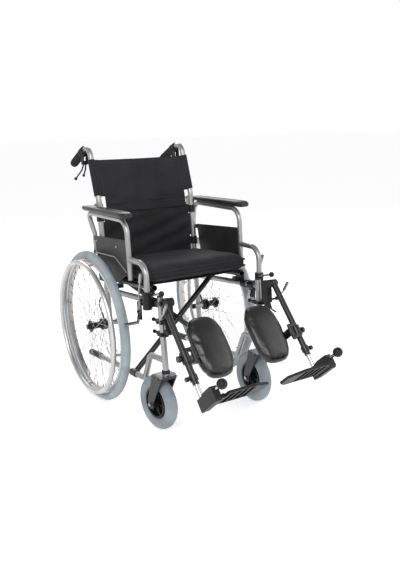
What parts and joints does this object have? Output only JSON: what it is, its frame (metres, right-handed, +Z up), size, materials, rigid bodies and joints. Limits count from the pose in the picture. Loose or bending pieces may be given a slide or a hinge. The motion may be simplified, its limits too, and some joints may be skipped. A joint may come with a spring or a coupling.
{
  "type": "manual wheelchair",
  "caption": "Folding manual wheelchair with swing-away elevating leg rests, flip-back armrests, half-folding back and attendant brake levers.",
  "frame": {"origin": "centre of the chair's bounding box, on the floor", "axes": "+Z up, -Y towards the front (footplates), +X to the sitter's left"},
  "size_m": [0.662, 1.1559, 1.0035],
  "materials": {
    "frame_paint": "silver-grey metallic paint, satin",
    "brace_paint": "black powder coat",
    "chrome": "bright plated",
    "bright_steel": "bright steel wire",
    "rim_silver": "silver anodised",
    "tyre_grey": "pale blue-grey rubber",
    "caster_grey": "smooth blue-grey rubber",
    "black_plastic": "moulded black plastic",
    "panel_grey": "dark grey sheet",
    "black_rubber": "ribbed black rubber",
    "nylon": "charcoal woven nylon",
    "vinyl": "padded black vinyl"
  },
  "bodies": {
    "left_frame": {"left_side_frame": "frame_paint", "left_frame_fittings": "black_plastic", "left_brake_cable": "black_plastic"},
    "left_rear_wheel": {"left_rear_tyre": "tyre_grey", "left_rear_rim": "rim_silver", "left_rear_spokes": "bright_steel", "left_rear_hub": "black_plastic", "left_handrim": "rim_silver"},
    "left_caster_fork": {"left_caster_fork": "brace_paint"},
    "left_caster_wheel": {"left_caster_tyre": "caster_grey", "left_caster_hub": "black_plastic"},
    "left_leg_hanger": {"left_leg_hanger": "black_plastic"},
    "left_leg_release": {"left_leg_release": "bright_steel"},
    "left_leg_tube": {"left_leg_tube": "brace_paint"},
    "left_leg_extension": {"left_leg_extension": "chrome"},
    "left_footplate": {"left_footplate": "black_plastic"},
    "left_calf_pad": {"left_calf_pad": "vinyl"},
    "left_armrest": {"left_armrest_tube": "frame_paint", "left_arm_pad": "vinyl", "left_side_panel": "panel_grey"},
    "left_arm_latch": {"left_arm_latch": "chrome"},
    "left_lock_lever": {"left_lock_lever": "bright_steel"},
    "left_lock_shoe": {"left_lock_shoe": "bright_steel"},
    "left_back": {"left_back_cane": "frame_paint", "left_push_handle": "black_rubber"},
    "left_brake_lever": {"left_brake_lever": "black_plastic"},
    "left_park_lever": {"left_park_lever": "black_plastic"},
    "right_frame": {"right_side_frame": "frame_paint", "right_frame_fittings": "black_plastic", "right_brake_cable": "black_plastic", "back_lower": "nylon"},
    "right_rear_wheel": {"right_rear_tyre": "tyre_grey", "right_rear_rim": "rim_silver", "right_rear_spokes": "bright_steel", "right_rear_hub": "black_plastic", "right_handrim": "rim_silver"},
    "right_caster_fork": {"right_caster_fork": "brace_paint"},
    "right_caster_wheel": {"right_caster_tyre": "caster_grey", "right_caster_hub": "black_plastic"},
    "right_leg_hanger": {"right_leg_hanger": "black_plastic"},
    "right_leg_release": {"right_leg_release": "bright_steel"},
    "right_leg_tube": {"right_leg_tube": "brace_paint"},
    "right_leg_extension": {"right_leg_extension": "chrome"},
    "right_footplate": {"right_footplate": "black_plastic"},
    "right_calf_pad": {"right_calf_pad": "vinyl"},
    "right_armrest": {"right_armrest_tube": "frame_paint", "right_arm_pad": "vinyl", "right_side_panel": "panel_grey"},
    "right_arm_latch": {"right_arm_latch": "chrome"},
    "right_lock_lever": {"right_lock_lever": "bright_steel"},
    "right_lock_shoe": {"right_lock_shoe": "bright_steel"},
    "right_back": {"right_back_cane": "frame_paint", "right_push_handle": "black_rubber", "back_upper": "nylon"},
    "right_brake_lever": {"right_brake_lever": "black_plastic"},
    "right_park_lever": {"right_park_lever": "black_plastic"},
    "brace_a": {"brace_a": "brace_paint", "seat_sling": "nylon", "seat_cushion": "nylon"},
    "brace_b": {"brace_b": "brace_paint"}
  },
  "joints": [
    {"name": "frame_fold", "type": "hinge", "parent": "right_frame", "child": "brace_a", "pos_m": [-0.212, 0.07704, 0.147], "axis": [0, -0.9965, 0.0837], "range_deg": [0, 37], "deforming": ["seat_sling", "seat_cushion", "back_lower", "back_upper"]},
    {"name": "brace_cross", "type": "hinge", "parent": "brace_a", "child": "brace_b", "pos_m": [0, 0.10442, 0.32966], "axis": [0, -0.9965, 0.0837], "range_deg": [-73.99, 0]},
    {"name": "left_side_fold", "type": "hinge", "parent": "brace_b", "child": "left_frame", "pos_m": [0.212, 0.10095, 0.145], "axis": [0, -0.9965, 0.0837], "range_deg": [0, 37]},
    {"name": "left_wheel_spin", "type": "hinge", "parent": "left_frame", "child": "left_rear_wheel", "pos_m": [0.2835, 0.27599, 0.302], "axis": [1, 0, 0], "continuous": true},
    {"name": "left_caster_swivel", "type": "hinge", "parent": "left_frame", "child": "left_caster_fork", "pos_m": [0.212, -0.174, 0.226], "axis": [0, 0, 1], "continuous": true},
    {"name": "left_caster_spin", "type": "hinge", "parent": "left_caster_fork", "child": "left_caster_wheel", "pos_m": [0.212, -0.12201, 0.1], "axis": [1, 0, 0], "continuous": true},
    {"name": "left_leg_swing", "type": "hinge", "parent": "left_frame", "child": "left_leg_hanger", "pos_m": [0.212, -0.19153, 0.36391], "axis": [0, 0.0837, 0.9965], "range_deg": [0, 90]},
    {"name": "left_leg_elevation", "type": "hinge", "parent": "left_leg_hanger", "child": "left_leg_tube", "pos_m": [0.235, -0.21801, 0.495], "axis": [-1, 0, 0], "range_deg": [-12, 49]},
    {"name": "left_leg_length", "type": "slide", "parent": "left_leg_tube", "child": "left_leg_extension", "axis": [0, -0.6561, -0.7547], "range_m": [-0.035, 0.07]},
    {"name": "left_leg_release_pull", "type": "hinge", "parent": "left_leg_hanger", "child": "left_leg_release", "pos_m": [0.255, -0.21391, 0.43202], "axis": [-1, 0, 0], "range_deg": [0, 20], "stiffness_Nm_per_rad": 1},
    {"name": "left_footplate_flip", "type": "hinge", "parent": "left_leg_extension", "child": "left_footplate", "pos_m": [0.215, -0.50439, 0.24177], "axis": [0, 0.7547, -0.6561], "range_deg": [0, 88]},
    {"name": "left_calf_pad_swing", "type": "hinge", "parent": "left_leg_tube", "child": "left_calf_pad", "pos_m": [0.206, -0.35863, 0.34694], "axis": [0, 0.6561, 0.7547], "range_deg": [0, 88]},
    {"name": "left_armrest_flip", "type": "hinge", "parent": "left_frame", "child": "left_armrest", "pos_m": [0.232, 0.32999, 0.592], "axis": [-1, 0, 0], "range_deg": [0, 85]},
    {"name": "left_arm_latch_pull", "type": "slide", "parent": "left_frame", "child": "left_arm_latch", "axis": [0.0292, -0.9644, 0.263], "range_m": [0, 0.008], "stiffness_N_per_m": 300},
    {"name": "left_lock_lever_pull", "type": "hinge", "parent": "left_frame", "child": "left_lock_lever", "pos_m": [0.256, -0.07601, 0.438], "axis": [-1, 0, 0], "range_deg": [0, 42]},
    {"name": "left_lock_shoe_swing", "type": "hinge", "parent": "left_frame", "child": "left_lock_shoe", "pos_m": [0.2437, -0.06001, 0.44], "axis": [1, 0, 0], "range_deg": [0, 38.75]},
    {"name": "left_back_fold", "type": "hinge", "parent": "left_frame", "child": "left_back", "pos_m": [0.212, 0.34452, 0.73982], "axis": [-1, 0, 0], "range_deg": [0, 115], "deforming": ["left_brake_cable"]},
    {"name": "left_brake_squeeze", "type": "hinge", "parent": "left_back", "child": "left_brake_lever", "pos_m": [0.212, 0.44082, 0.93676], "axis": [1, 0, 0], "range_deg": [0, 15], "stiffness_Nm_per_rad": 2},
    {"name": "left_park_lever_turn", "type": "hinge", "parent": "left_back", "child": "left_park_lever", "pos_m": [0.212, 0.44082, 0.93676], "axis": [1, 0, 0], "range_deg": [0, 25]},
    {"name": "right_wheel_spin", "type": "hinge", "parent": "right_frame", "child": "right_rear_wheel", "pos_m": [-0.2835, 0.27599, 0.302], "axis": [1, 0, 0], "continuous": true},
    {"name": "right_caster_swivel", "type": "hinge", "parent": "right_frame", "child": "right_caster_fork", "pos_m": [-0.212, -0.174, 0.226], "axis": [0, 0, 1], "continuous": true},
    {"name": "right_caster_spin", "type": "hinge", "parent": "right_caster_fork", "child": "right_caster_wheel", "pos_m": [-0.21834, -0.12239, 0.1], "axis": [0.9925, 0.1219, 0], "continuous": true},
    {"name": "right_leg_swing", "type": "hinge", "parent": "right_frame", "child": "right_leg_hanger", "pos_m": [-0.212, -0.19153, 0.36391], "axis": [0, -0.0837, -0.9965], "range_deg": [0, 90]},
    {"name": "right_leg_elevation", "type": "hinge", "parent": "right_leg_hanger", "child": "right_leg_tube", "pos_m": [-0.235, -0.21801, 0.495], "axis": [-1, 0, 0], "range_deg": [-12, 49]},
    {"name": "right_leg_length", "type": "slide", "parent": "right_leg_tube", "child": "right_leg_extension", "axis": [0, -0.6561, -0.7547], "range_m": [-0.035, 0.07]},
    {"name": "right_leg_release_pull", "type": "hinge", "parent": "right_leg_hanger", "child": "right_leg_release", "pos_m": [-0.255, -0.21391, 0.43202], "axis": [-1, 0, 0], "range_deg": [0, 20], "stiffness_Nm_per_rad": 1},
    {"name": "right_footplate_flip", "type": "hinge", "parent": "right_leg_extension", "child": "right_footplate", "pos_m": [-0.215, -0.50439, 0.24177], "axis": [0, -0.7547, 0.6561], "range_deg": [0, 88]},
    {"name": "right_calf_pad_swing", "type": "hinge", "parent": "right_leg_tube", "child": "right_calf_pad", "pos_m": [-0.206, -0.35863, 0.34694], "axis": [0, -0.6561, -0.7547], "range_deg": [0, 88]},
    {"name": "right_armrest_flip", "type": "hinge", "parent": "right_frame", "child": "right_armrest", "pos_m": [-0.232, 0.32999, 0.592], "axis": [-1, 0, 0], "range_deg": [0, 85]},
    {"name": "right_arm_latch_pull", "type": "slide", "parent": "right_frame", "child": "right_arm_latch", "axis": [-0.0292, -0.9644, 0.263], "range_m": [0, 0.008], "stiffness_N_per_m": 300},
    {"name": "right_lock_lever_pull", "type": "hinge", "parent": "right_frame", "child": "right_lock_lever", "pos_m": [-0.256, -0.07601, 0.438], "axis": [-1, 0, 0], "range_deg": [0, 42]},
    {"name": "right_lock_shoe_swing", "type": "hinge", "parent": "right_frame", "child": "right_lock_shoe", "pos_m": [-0.2437, -0.06001, 0.44], "axis": [1, 0, 0], "range_deg": [0, 38.75]},
    {"name": "right_back_fold", "type": "hinge", "parent": "right_frame", "child": "right_back", "pos_m": [-0.212, 0.34452, 0.73982], "axis": [-1, 0, 0], "range_deg": [0, 115], "deforming": ["right_brake_cable"]},
    {"name": "right_brake_squeeze", "type": "hinge", "parent": "right_back", "child": "right_brake_lever", "pos_m": [-0.212, 0.44082, 0.93676], "axis": [1, 0, 0], "range_deg": [0, 15], "stiffness_Nm_per_rad": 2},
    {"name": "right_park_lever_turn", "type": "hinge", "parent": "right_back", "child": "right_park_lever", "pos_m": [-0.212, 0.44082, 0.93676], "axis": [1, 0, 0], "range_deg": [0, 25]}
  ],
  "couplings": [
    {"joint": "brace_cross", "follows": "frame_fold", "ratio": -2},
    {"joint": "left_side_fold", "follows": "frame_fold", "ratio": 1},
    {"joint": "left_leg_swing", "follows": "frame_fold", "ratio": 2.4324},
    {"joint": "left_lock_shoe_swing", "follows": "left_lock_lever_pull", "ratio": 0.92253},
    {"joint": "right_leg_swing", "follows": "frame_fold", "ratio": 2.4324},
    {"joint": "right_lock_shoe_swing", "follows": "right_lock_lever_pull", "ratio": 0.92253},
    {"joint": "left_back_fold", "follows": "right_back_fold", "ratio": 1}
  ]
}
